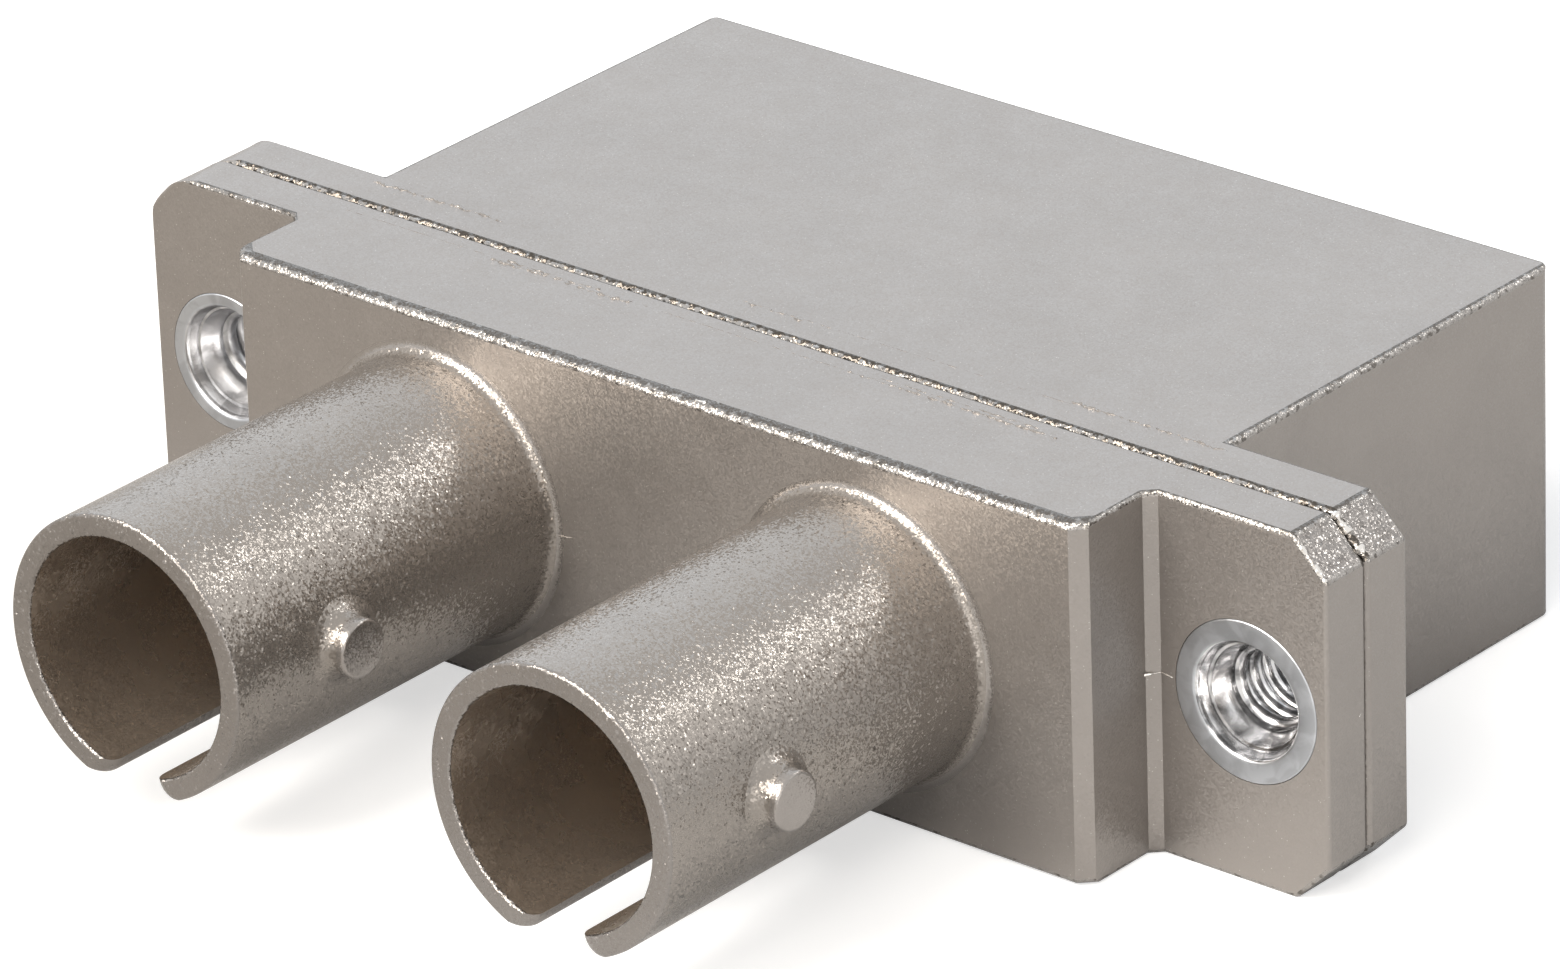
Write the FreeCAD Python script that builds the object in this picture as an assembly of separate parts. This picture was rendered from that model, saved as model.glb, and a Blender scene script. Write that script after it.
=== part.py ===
import FreeCAD, Part
import math
import os

from FreeCAD import Vector

# Duplex fibre optic coupler with two bayonet barrels in front and two square push-in ports
# behind. Two zinc die castings meet at a seam across the screw ears and are held together by
# two clinched threaded bushes. Inside, each of the two channels has a split ceramic sleeve
# and a moulded latch. Millimetres. X runs across the pair of channels, the barrels point to
# -Y, the square ports to +Y, and +Z is up. The origin is midway between the two screw holes,
# on the seam between the castings.

# Whole body
channel_pitch = 12.7
screw_pitch = 30.6
ear_end_from_screw = 2.28
body_height = 9.0
body_width = 25.34
ear_chamfer = 0.95
front_ear_thickness = 1.42
rear_ear_thickness = 1.5
block_depth = 2.48
shell_depth = 12.12

# Edges of the castings
front_edge_bevel = 0.16
rear_edge_bevel = 0.09
block_corner_flat = 0.33
front_ear_root_flat = 0.25
rear_ear_root_round = 0.25
front_seam_bevel = 0.07
rear_seam_bevel = 0.16
shell_corner_round = 0.4
port_lead_in = 0.35

# Bayonet barrels
barrel_outer_radius = 3.47
barrel_bore_radius = 2.92
barrel_length = 10.73
barrel_root_flare = 0.28
barrel_rim_bevel = 0.08
barrel_floor_thickness = 2.3
lug_radius = 0.71
lug_reach = 4.06
lug_from_mouth = 3.58
lug_root_flare = 0.22
lug_tip_bevel = 0.07
keyway_width = 1.3
keyway_length = 7.0
keyway_nose_round = 0.45
keyway_mouth_round = 0.4

# Split alignment sleeves and what holds them
ferrule_radius = 1.25
sleeve_wall = 0.35
sleeve_length = 11.4
sleeve_slit = 0.5
sleeve_side_clearance = 0.05
sleeve_end_clearance = 0.1
lip_length = 0.7
lip_clearance = 0.2
lip_lead_in = 0.35
front_holder_wall = 0.5
rear_holder_wall = 0.65

# Square ports
port_width = 9.0
port_height = 7.4
port_key_width = 2.3
port_key_depth = 0.4
port_key_length = 8.5

# Moulded latches
latch_plate_width = 10.9
latch_plate_height = 7.6
latch_plate_thickness = 1.4
latch_plate_round = 0.6
latch_seat_clearance = 0.04
arm_gap = 7.1
arm_thickness = 0.75
arm_width = 3.2
arm_length = 7.3
arm_root_widening = 0.45
arm_flex_room = 0.85
arm_side_clearance = 0.3
hook_depth = 0.65
hook_ramp_length = 0.9
hook_land_length = 0.4
hook_back_length = 0.25

# Threaded bushes clinched through both pairs of ears
bush_body_radius = 1.6
bush_rim_radius = 1.98
bush_rim_thickness = 0.35
bush_clearance = 0.02
thread_minor_radius = 0.8
bush_flare_radius = 1.42
bush_flare_lip = 0.16
bush_flare_depth = 0.75
bush_throat_radius = 1.02

# Planes and widths that follow from the sizes above
seam_y = 0
ear_front_y = seam_y - front_ear_thickness
block_face_y = ear_front_y - block_depth
mouth_y = block_face_y - barrel_length
barrel_floor_y = seam_y - barrel_floor_thickness
ear_back_y = seam_y + rear_ear_thickness
shell_end_y = ear_back_y + shell_depth
top_z = body_height / 2
side_x = body_width / 2
ear_end_x = screw_pitch / 2 + ear_end_from_screw

sleeve_outer_radius = ferrule_radius + sleeve_wall
seat_radius = sleeve_outer_radius + sleeve_side_clearance
lip_radius = ferrule_radius + lip_clearance
seat_half_length = sleeve_length / 2 + sleeve_end_clearance
front_holder_radius = seat_radius + front_holder_wall
rear_holder_radius = seat_radius + rear_holder_wall
front_holder_end_y = seam_y - seat_half_length - lip_length
rear_holder_end_y = seam_y + seat_half_length + lip_length

latch_seat_depth = latch_plate_thickness + latch_seat_clearance
latch_back_y = seam_y + latch_seat_depth
arm_end_y = latch_back_y + arm_length

SAME = 1e-4
OVERSHOOT = 1.0


def box_between(low, high):
    """Box from its lowest corner to its highest."""
    size = Vector(*high) - Vector(*low)
    return Part.makeBox(size.x, size.y, size.z, Vector(*low))


def centred_box(x, width, y_start, y_end, height):
    """Box across X and Z about a channel axis, between two planes along Y."""
    low = (x - width / 2, y_start, -height / 2)
    return box_between(low, (x + width / 2, y_end, height / 2))


def rod(x, radius, y_start, y_end):
    """Cylinder about a line along Y at height zero."""
    return Part.makeCylinder(radius, y_end - y_start, Vector(x, y_start, 0), Vector(0, 1, 0))


def turned(x, outline):
    """Solid of revolution about a line along Y, from (radius, y) points."""
    points = [Vector(x + radius, y, 0) for radius, y in outline]
    face = Part.Face(Part.makePolygon(points + points[:1]))
    return face.revolve(Vector(x, 0, 0), Vector(0, 1, 0), 360)


def middle_of(edge):
    return edge.valueAt((edge.FirstParameter + edge.LastParameter) / 2)


def rounded(shape, radius, belongs):
    """The shape with each edge rounded whose middle point belongs."""
    edges = [edge for edge in shape.Edges if belongs(middle_of(edge))]
    return shape.makeFillet(radius, edges)


def bevelled(shape, width, belongs):
    """The shape with each edge cut off at 45 degrees whose middle point belongs."""
    edges = [edge for edge in shape.Edges if belongs(middle_of(edge))]
    return shape.makeChamfer(width, edges)


def near(value, target):
    return abs(value - target) < SAME


def ear_slab(y_start, y_end):
    """Flat plate across both screw ears, with its four corners cut off."""
    inner = ear_end_x - ear_chamfer
    low = top_z - ear_chamfer
    corners = [(ear_end_x, low), (inner, top_z), (-inner, top_z), (-ear_end_x, low),
               (-ear_end_x, -low), (-inner, -top_z), (inner, -top_z), (ear_end_x, -low)]
    points = [Vector(x, y_start, z) for x, z in corners]
    face = Part.Face(Part.makePolygon(points + points[:1]))
    return face.extrude(Vector(0, y_end - y_start, 0))


def ear_edge(point):
    """True on the short edges along Y where the cut corners of the ears end."""
    on_top = near(abs(point.z), top_z) and near(abs(point.x), ear_end_x - ear_chamfer)
    on_side = near(abs(point.x), ear_end_x) and near(abs(point.z), top_z - ear_chamfer)
    return on_top or on_side


def screw_hole(x):
    """Hole for one bush through both castings, with a recess for each rim."""
    start_y = ear_front_y - OVERSHOOT
    hole = rod(x, bush_body_radius + bush_clearance, start_y, ear_back_y + OVERSHOOT)
    rim = bush_rim_radius + bush_clearance
    front = rod(x, rim, start_y, ear_front_y + bush_rim_thickness)
    back = rod(x, rim, ear_back_y - bush_rim_thickness, ear_back_y + OVERSHOOT)
    return hole.fuse([front, back])


def cut_screw_holes(casting):
    return casting.cut([screw_hole(side * screw_pitch / 2) for side in (-1, 1)])


def front_body():
    """Front ears and the raised block that carries the barrels, before any hole."""
    block = centred_box(0, body_width, block_face_y, seam_y, body_height)
    body = ear_slab(ear_front_y, seam_y).fuse(block).removeSplitter()
    body = bevelled(body, block_corner_flat, lambda p: near(p.y, block_face_y) and near(abs(p.x), side_x))
    body = bevelled(body, front_ear_root_flat, lambda p: near(p.y, ear_front_y) and near(abs(p.x), side_x))

    def front_edge(p):
        on_ear_front = near(p.y, ear_front_y) and abs(p.x) > side_x + front_ear_root_flat + SAME
        on_block = near(abs(p.z), top_z) and p.y < seam_y - SAME and not ear_edge(p)
        return on_ear_front or on_block or ear_edge(p)

    body = bevelled(body, front_edge_bevel, front_edge)
    return bevelled(body, front_seam_bevel, lambda p: near(p.y, seam_y))


def lug(x, side):
    """Bayonet lug on one side of a barrel: a short pin that widens into a cone at its root."""
    y = mouth_y + lug_from_mouth
    out = Vector(side, 0, 0)
    pin_start = barrel_bore_radius + (barrel_outer_radius - barrel_bore_radius) / 2
    cone_end = barrel_outer_radius + lug_root_flare
    flare = cone_end - pin_start
    pin = Part.makeCylinder(lug_radius, lug_reach - pin_start, Vector(x + side * pin_start, y, 0), out)
    pin = bevelled(pin, lug_tip_bevel, lambda p: near(abs(p.x - x), lug_reach))
    root = Part.makeCone(lug_radius + flare, lug_radius, flare, Vector(x + side * pin_start, y, 0), out)
    return pin.fuse(root)


def barrel_blank(x):
    """One barrel, solid inside, with its two bayonet lugs. It flares out where it meets the block."""
    outline = [(0, mouth_y),
               (barrel_outer_radius - barrel_rim_bevel, mouth_y),
               (barrel_outer_radius, mouth_y + barrel_rim_bevel),
               (barrel_outer_radius, block_face_y - barrel_root_flare),
               (barrel_outer_radius + barrel_root_flare, block_face_y),
               (barrel_outer_radius + barrel_root_flare, barrel_floor_y),
               (0, barrel_floor_y)]
    return turned(x, outline).fuse([lug(x, -1), lug(x, 1)]).removeSplitter()


def barrel_hollow(x):
    """Space inside a barrel, round the tube that holds the front half of the sleeve."""
    space = rod(x, barrel_bore_radius, mouth_y - OVERSHOOT, barrel_floor_y)
    tube = rod(x, front_holder_radius, front_holder_end_y, barrel_floor_y)
    return space.cut(tube)


def sleeve_channel(x, towards):
    """Sleeve seat from the seam to its end lip. towards is -1 for the front, 1 for the back."""
    seat_end_y = seam_y + towards * seat_half_length
    lip_end_y = seat_end_y + towards * lip_length
    outline = [(0, seam_y - towards * OVERSHOOT),
               (seat_radius, seam_y - towards * OVERSHOOT),
               (seat_radius, seat_end_y),
               (lip_radius, seat_end_y),
               (lip_radius, lip_end_y - towards * lip_lead_in),
               (lip_radius + lip_lead_in, lip_end_y),
               (lip_radius + lip_lead_in, lip_end_y + towards * SAME),
               (0, lip_end_y + towards * SAME)]
    return turned(x, outline)


def keyway(x):
    """Slot under a barrel that guides the plug's key, open at the mouth, with rounded lips."""
    half = keyway_width / 2
    end_y = mouth_y + keyway_length
    start_y = mouth_y - OVERSHOOT
    inside_z = -barrel_bore_radius / 2
    outside_z = -barrel_outer_radius - OVERSHOOT

    # section across the barrel: the outer corner of each lip is an arc tangent to the barrel
    nose_x = half + keyway_nose_round
    nose_distance = barrel_outer_radius - keyway_nose_round
    nose_z = -math.sqrt(nose_distance ** 2 - nose_x ** 2)
    reach = barrel_outer_radius / nose_distance
    angle = math.pi + math.atan2(-nose_z, nose_x) / 2
    arc_middle = (nose_x + keyway_nose_round * math.cos(angle),
                  nose_z + keyway_nose_round * math.sin(angle))

    def at(px, pz):
        return Vector(x + px, start_y, pz)

    edges = [Part.makeLine(at(-half, inside_z), at(half, inside_z))]
    for side in (1, -1):
        slot_corner = at(side * half, inside_z)
        arc_start = at(side * half, nose_z)
        arc_end = at(side * nose_x * reach, nose_z * reach)
        edges.append(Part.makeLine(slot_corner, arc_start))
        edges.append(Part.Arc(arc_start, at(side * arc_middle[0], arc_middle[1]), arc_end).toShape())
        edges.append(Part.makeLine(arc_end, at(side * nose_x * reach, outside_z)))
    edges.append(Part.makeLine(at(nose_x * reach, outside_z), at(-nose_x * reach, outside_z)))
    section = Part.Face(Part.Wire(Part.sortEdges(edges)[0]))
    slot = section.extrude(Vector(0, end_y - half - start_y, 0))

    round_end = Part.makeCylinder(half, inside_z - outside_z, Vector(x, end_y - half, outside_z))
    return slot.fuse([round_end, keyway_flare(x, outside_z, inside_z)])


def keyway_flare(x, low_z, high_z):
    """Wider start of a keyway at the mouth, where the corners of both lips are rounded."""
    half = keyway_width / 2
    wide = half + keyway_mouth_round
    inner_y = mouth_y + keyway_mouth_round
    offset = keyway_mouth_round * math.cos(math.pi / 4)

    def at(px, py):
        return Vector(x + px, py, low_z)

    edges = [Part.makeLine(at(-half, inner_y), at(half, inner_y))]
    for side in (1, -1):
        arc_middle = at(side * (wide - offset), inner_y - offset)
        edges.append(Part.Arc(at(side * half, inner_y), arc_middle, at(side * wide, mouth_y)).toShape())
        edges.append(Part.makeLine(at(side * wide, mouth_y), at(side * wide, mouth_y - OVERSHOOT)))
    edges.append(Part.makeLine(at(wide, mouth_y - OVERSHOOT), at(-wide, mouth_y - OVERSHOOT)))
    outline = Part.Face(Part.Wire(Part.sortEdges(edges)[0]))
    return outline.extrude(Vector(0, 0, high_z - low_z))


def front_housing():
    """Front die casting: ears, block, both bayonet barrels and the tubes inside them."""
    channels = [side * channel_pitch / 2 for side in (-1, 1)]
    casting = front_body().fuse([barrel_blank(x) for x in channels]).removeSplitter()
    casting = casting.cut([barrel_hollow(x) for x in channels])
    casting = casting.cut([sleeve_channel(x, -1) for x in channels])
    casting = casting.cut([keyway(x) for x in channels])
    return cut_screw_holes(casting)


def rear_body():
    """Rear ears and the long rectangular shell behind them, before any hole."""
    shell = centred_box(0, body_width, seam_y, shell_end_y, body_height)
    body = ear_slab(seam_y, ear_back_y).fuse(shell).removeSplitter()
    body = rounded(body, rear_ear_root_round, lambda p: near(p.y, ear_back_y) and near(abs(p.x), side_x))
    body = rounded(body, shell_corner_round, lambda p: near(p.y, shell_end_y) and near(abs(p.x), side_x))

    def back_edge(p):
        on_ear_back = near(p.y, ear_back_y) and abs(p.x) > side_x + rear_ear_root_round
        on_shell = near(abs(p.z), top_z) and p.y > seam_y + SAME and not ear_edge(p)
        return on_ear_back or on_shell or ear_edge(p)

    body = bevelled(body, rear_edge_bevel, back_edge)
    return bevelled(body, rear_seam_bevel, lambda p: near(p.y, seam_y))


def port_hollow(x):
    """One square port: plug space, room for the latch arms to flex, latch seat and key groove."""
    plug = centred_box(x, port_width, seam_y - OVERSHOOT, shell_end_y + OVERSHOOT, port_height)
    flex_width = arm_gap + 2 * arm_thickness + 2 * arm_flex_room
    flex_height = arm_width + 2 * arm_side_clearance
    flex_end_y = arm_end_y + arm_flex_room
    flex = centred_box(x, flex_width, seam_y - OVERSHOOT, flex_end_y, flex_height)
    seat = latch_plate(x, seam_y - OVERSHOOT, latch_back_y, latch_seat_clearance)
    groove_low = (x - port_key_width / 2, shell_end_y - port_key_length, -port_height / 2 - port_key_depth)
    groove = box_between(groove_low, (x + port_key_width / 2, shell_end_y + OVERSHOOT, 0))
    return plug.fuse([flex, seat, groove])


def port_funnel(x):
    """Sloped lead-in that widens a port at its mouth."""
    wires = []
    for y, widening in ((shell_end_y - port_lead_in, 0), (shell_end_y + SAME, port_lead_in)):
        half_x = port_width / 2 + widening
        half_z = port_height / 2 + widening
        corners = [(half_x, half_z), (-half_x, half_z), (-half_x, -half_z), (half_x, -half_z)]
        points = [Vector(x + px, y, pz) for px, pz in corners]
        wires.append(Part.makePolygon(points + points[:1]))
    return Part.makeLoft(wires, True)


def rear_housing():
    """Rear die casting: ears and the shell with the two square ports."""
    channels = [side * channel_pitch / 2 for side in (-1, 1)]
    casting = rear_body().cut([port_hollow(x) for x in channels])
    casting = casting.cut([port_funnel(x) for x in channels])
    return cut_screw_holes(casting)


def latch_plate(x, y_start, y_end, clearance):
    """Rounded rectangular plate of a latch, or its seat when a clearance is added all round."""
    width = latch_plate_width + 2 * clearance
    height = latch_plate_height + 2 * clearance
    plate = centred_box(x, width, y_start, y_end, height)

    def corner(p):
        return near(abs(p.x - x), width / 2) and near(abs(p.z), height / 2)

    return rounded(plate, latch_plate_round + clearance, corner)


def latch_arm(x, side):
    """One springy arm of a latch, with a ramped hook that catches the plug."""
    inner = arm_gap / 2
    outer = inner + arm_thickness
    hook = inner - hook_depth
    ramp_start_y = arm_end_y - hook_ramp_length
    land_start_y = ramp_start_y - hook_land_length
    root_y = latch_back_y - latch_plate_thickness / 2
    outline = [(outer, root_y),
               (outer, arm_end_y),
               (inner, arm_end_y),
               (hook, ramp_start_y),
               (hook, land_start_y),
               (inner, land_start_y - hook_back_length),
               (inner, latch_back_y + 2 * arm_root_widening),
               (inner - arm_root_widening, latch_back_y),
               (inner - arm_root_widening, root_y)]
    points = [Vector(x + side * px, py, -arm_width / 2) for px, py in outline]
    face = Part.Face(Part.makePolygon(points + points[:1]))
    return face.extrude(Vector(0, 0, arm_width))


def sc_latch(x):
    """Moulded latch: plate, two hooked arms and the tube round the back half of the sleeve."""
    plate = latch_plate(x, latch_back_y - latch_plate_thickness, latch_back_y, 0)
    tube = rod(x, rear_holder_radius, latch_back_y - latch_plate_thickness / 2, rear_holder_end_y)
    latch = plate.fuse([tube, latch_arm(x, -1), latch_arm(x, 1)]).removeSplitter()
    return latch.cut(sleeve_channel(x, 1))


def alignment_sleeve(x):
    """Split ceramic sleeve that lines up the two ferrules, centred on the seam."""
    start_y = seam_y - sleeve_length / 2
    end_y = seam_y + sleeve_length / 2
    sleeve = rod(x, sleeve_outer_radius, start_y, end_y)
    sleeve = sleeve.cut(rod(x, ferrule_radius, start_y - OVERSHOOT, end_y + OVERSHOOT))
    slit_low = (x - sleeve_slit / 2, start_y - OVERSHOOT, 0)
    slit_high = (x + sleeve_slit / 2, end_y + OVERSHOOT, sleeve_outer_radius + OVERSHOOT)
    return sleeve.cut(box_between(slit_low, slit_high))


def threaded_bush(x):
    """Turned bush, flared over at both ends, whose tapped bore takes the mounting screw."""
    throat_y = ear_front_y + bush_flare_depth
    rim_back_y = ear_front_y + bush_rim_thickness
    outline = [(thread_minor_radius, throat_y + bush_throat_radius - thread_minor_radius),
               (bush_throat_radius, throat_y),
               (bush_flare_radius, ear_front_y + bush_flare_lip),
               (bush_flare_radius + bush_flare_lip, ear_front_y),
               (bush_rim_radius, ear_front_y),
               (bush_rim_radius, rim_back_y),
               (bush_body_radius, rim_back_y),
               (bush_body_radius, ear_back_y - bush_rim_thickness),
               (bush_rim_radius, ear_back_y - bush_rim_thickness),
               (bush_rim_radius, ear_back_y),
               (bush_throat_radius, ear_back_y),
               (thread_minor_radius, ear_back_y - (bush_throat_radius - thread_minor_radius))]
    return turned(x, outline)


def save(name, shape):
    shape.exportStep(os.path.join("parts", name + ".step"))


os.makedirs("parts", exist_ok=True)
save("front_housing", front_housing())
save("rear_housing", rear_housing())
for side_name, side in (("left", -1), ("right", 1)):
    channel_x = side * channel_pitch / 2
    save("sc_latch_" + side_name, sc_latch(channel_x))
    save("alignment_sleeve_" + side_name, alignment_sleeve(channel_x))
    save("threaded_bush_" + side_name, threaded_bush(side * screw_pitch / 2))
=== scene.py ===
import math

import bmesh
import bpy
from mathutils import Matrix, Vector


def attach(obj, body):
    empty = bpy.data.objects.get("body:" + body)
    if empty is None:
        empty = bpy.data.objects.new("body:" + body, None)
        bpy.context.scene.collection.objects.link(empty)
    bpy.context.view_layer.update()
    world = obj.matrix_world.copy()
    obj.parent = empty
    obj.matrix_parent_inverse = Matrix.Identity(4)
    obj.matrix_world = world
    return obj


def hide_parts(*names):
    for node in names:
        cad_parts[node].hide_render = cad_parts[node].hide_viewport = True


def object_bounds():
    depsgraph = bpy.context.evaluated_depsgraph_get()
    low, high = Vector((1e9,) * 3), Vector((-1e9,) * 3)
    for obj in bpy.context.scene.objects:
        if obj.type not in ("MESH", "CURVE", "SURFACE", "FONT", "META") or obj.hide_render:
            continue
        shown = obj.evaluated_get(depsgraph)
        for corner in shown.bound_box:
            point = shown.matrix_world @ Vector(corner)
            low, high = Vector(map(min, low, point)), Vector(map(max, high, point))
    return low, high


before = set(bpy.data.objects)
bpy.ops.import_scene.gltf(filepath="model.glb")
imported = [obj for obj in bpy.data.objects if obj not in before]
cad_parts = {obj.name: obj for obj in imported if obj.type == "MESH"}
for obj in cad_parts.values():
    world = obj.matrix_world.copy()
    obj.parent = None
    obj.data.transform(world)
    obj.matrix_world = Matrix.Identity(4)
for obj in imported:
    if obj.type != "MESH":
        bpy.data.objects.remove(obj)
box_at_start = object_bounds()

# Camera
# The photograph was taken with a long lens from the front right and above. The camera looks at
# the middle of the seam from about a quarter of a metre away.
azimuth = math.radians(40.83)
elevation = math.radians(25.28)
roll = math.radians(-2.03)
backward = Vector((math.sin(azimuth) * math.cos(elevation),
                   -math.cos(azimuth) * math.cos(elevation),
                   math.sin(elevation)))
level_right = Vector((math.cos(azimuth), math.sin(azimuth), 0))
level_up = backward.cross(level_right)
right = math.cos(roll) * level_right + math.sin(roll) * level_up
up = math.cos(roll) * level_up - math.sin(roll) * level_right
camera_data = bpy.data.cameras.new("camera")
camera_data.sensor_width = 36
camera_data.lens = 246.23
camera_data.clip_start = 0.01
camera_data.clip_end = 20
camera = bpy.data.objects.new("camera", camera_data)
camera.matrix_world = Matrix((right, up, backward)).transposed().to_4x4()
camera.location = 0.0005 * right + 0.00046 * up + 0.24607 * backward
bpy.context.scene.collection.objects.link(camera)
bpy.context.scene.camera = camera
bpy.context.scene.view_settings.view_transform = "Standard"

# Light
# Soft boxes round a small studio table: three behind the part, which its top throws back at the
# camera, three above its front, and a low one at its right. Metal also shows the pale room
# between them.
def soft_box(name, place, width, height, watts, colour):
    data = bpy.data.lights.new(name, "AREA")
    data.shape = "RECTANGLE"
    data.size = width
    data.size_y = height
    data.energy = watts
    data.color = colour
    lamp = bpy.data.objects.new(name, data)
    lamp.location = place
    lamp.rotation_euler = (-Vector(place)).to_track_quat("-Z", "Y").to_euler()
    bpy.context.scene.collection.objects.link(lamp)


soft_box("lamp_back_left", (-0.42, 0.48, 0.34), 0.85, 0.60, 0.76, (0.82, 1.0, 1.20))
soft_box("lamp_back_right", (0.46, 0.42, 0.30), 0.34, 0.26, 0.22, (1.0, 0.98, 0.95))
soft_box("lamp_back_high", (0.27, 0.50, 0.46), 0.14, 0.11, 0.52, (1.0, 0.99, 0.97))
soft_box("lamp_front", (-0.06, -0.42, 0.42), 0.80, 0.50, 3.1, (1.0, 0.92, 0.83))
soft_box("lamp_front_left", (-0.15, -0.41, 0.41), 0.30, 0.30, 3.8, (1.0, 0.95, 0.88))
soft_box("lamp_front_right", (0.23, -0.41, 0.37), 0.25, 0.25, 1.0, (1.0, 0.93, 0.85))
soft_box("lamp_low", (0.56, -0.24, 0.10), 0.50, 0.20, 0.55, (1.0, 0.95, 0.90))


def rays_to_pale(nodes, links):
    """Two values: 1 for camera rays, and 1 for camera, glossy and transmission rays."""
    light_path = nodes.new("ShaderNodeLightPath")
    total = light_path.outputs["Is Camera Ray"]
    for label in ("Is Glossy Ray", "Is Transmission Ray"):
        more = nodes.new("ShaderNodeMath")
        more.operation = "ADD"
        more.use_clamp = True
        links.new(total, more.inputs[0])
        links.new(light_path.outputs[label], more.inputs[1])
        total = more.outputs[0]
    return light_path.outputs["Is Camera Ray"], total


world = bpy.data.worlds.new("room")
world.use_nodes = True
bpy.context.scene.world = world
nodes = world.node_tree.nodes
links = world.node_tree.links
nodes.clear()
seen = rays_to_pale(nodes, links)[1]
room = nodes.new("ShaderNodeBackground")
room.inputs["Color"].default_value = (0.2, 0.2, 0.205, 1)
pale = nodes.new("ShaderNodeBackground")
pale.inputs["Color"].default_value = (1, 1, 1, 1)
mix = nodes.new("ShaderNodeMixShader")
links.new(seen, mix.inputs["Fac"])
links.new(room.outputs[0], mix.inputs[1])
links.new(pale.outputs[0], mix.inputs[2])
links.new(mix.outputs[0], nodes.new("ShaderNodeOutputWorld").inputs["Surface"])

# Floor
# Paper that the part stands on and throws its shadow on. Its colour is painted darker and warmer
# on the left and front, a painted shade that the part's front faces mirror. A glow lifts it to
# white, nearly all of it for the camera alone and a little for glossy surfaces too.
floor_mesh = bpy.data.meshes.new("floor")
reach = 3
floor_z = box_at_start[0].z - 0.00001  # clear of the part's flat underside
floor_mesh.from_pydata([(-reach, -reach, floor_z), (reach, -reach, floor_z),
                        (reach, reach, floor_z), (-reach, reach, floor_z)], [], [(0, 1, 2, 3)])
floor = bpy.data.objects.new("floor", floor_mesh)
bpy.context.scene.collection.objects.link(floor)
paper = bpy.data.materials.new("paper")
paper.use_nodes = True
nodes = paper.node_tree.nodes
links = paper.node_tree.links
nodes.clear()
camera_rays, seen = rays_to_pale(nodes, links)
camera_glow = nodes.new("ShaderNodeMath")
camera_glow.operation = "MULTIPLY"
camera_glow.inputs[1].default_value = 0.55
links.new(camera_rays, camera_glow.inputs[0])
glow_level = nodes.new("ShaderNodeMath")
glow_level.operation = "MULTIPLY_ADD"
glow_level.inputs[1].default_value = 0.04
links.new(seen, glow_level.inputs[0])
links.new(camera_glow.outputs[0], glow_level.inputs[2])
glow = nodes.new("ShaderNodeEmission")
links.new(glow_level.outputs[0], glow.inputs["Strength"])
matt = nodes.new("ShaderNodeBsdfDiffuse")
place = nodes.new("ShaderNodeTexCoord")
across = nodes.new("ShaderNodeSeparateXYZ")
links.new(place.outputs["Object"], across.inputs["Vector"])
slant = nodes.new("ShaderNodeMath")
slant.operation = "ADD"
links.new(across.outputs["X"], slant.inputs[0])
links.new(across.outputs["Y"], slant.inputs[1])
side = nodes.new("ShaderNodeMapRange")
side.inputs["From Min"].default_value = -0.030
side.inputs["From Max"].default_value = -0.008
links.new(slant.outputs[0], side.inputs["Value"])
# painted shade: darker, warmer paper on the left and front, for the metal's front faces to mirror
painted_shade_grade = nodes.new("ShaderNodeMix")
painted_shade_grade.data_type = "RGBA"
painted_shade_grade.inputs["A"].default_value = (0.375, 0.36, 0.34, 1)
painted_shade_grade.inputs["B"].default_value = (0.66, 0.675, 0.69, 1)
links.new(side.outputs[0], painted_shade_grade.inputs["Factor"])
links.new(painted_shade_grade.outputs["Result"], matt.inputs["Color"])
both = nodes.new("ShaderNodeAddShader")
links.new(matt.outputs[0], both.inputs[0])
links.new(glow.outputs[0], both.inputs[1])
links.new(both.outputs[0], nodes.new("ShaderNodeOutputMaterial").inputs["Surface"])
floor_mesh.materials.append(paper)

# Front casting
# Zinc die casting with a satin nickel plate: the front half of the screw ears, the block, and
# the two bayonet barrels with their lugs and keyways. Its edges are left a little rough and
# rounded by the die and by tumbling, so they glitter. All lengths here are millimetres.
channels = (-6.35, 6.35)
screws = (-15.3, 15.3)
ear_end = 17.58
ear_top_end = 16.63
ear_end_top = 3.55
ear_front = -1.42
block_side = 12.67
block_front = -3.9
body_top = 4.5
seam_half_gap = 0.03


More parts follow.
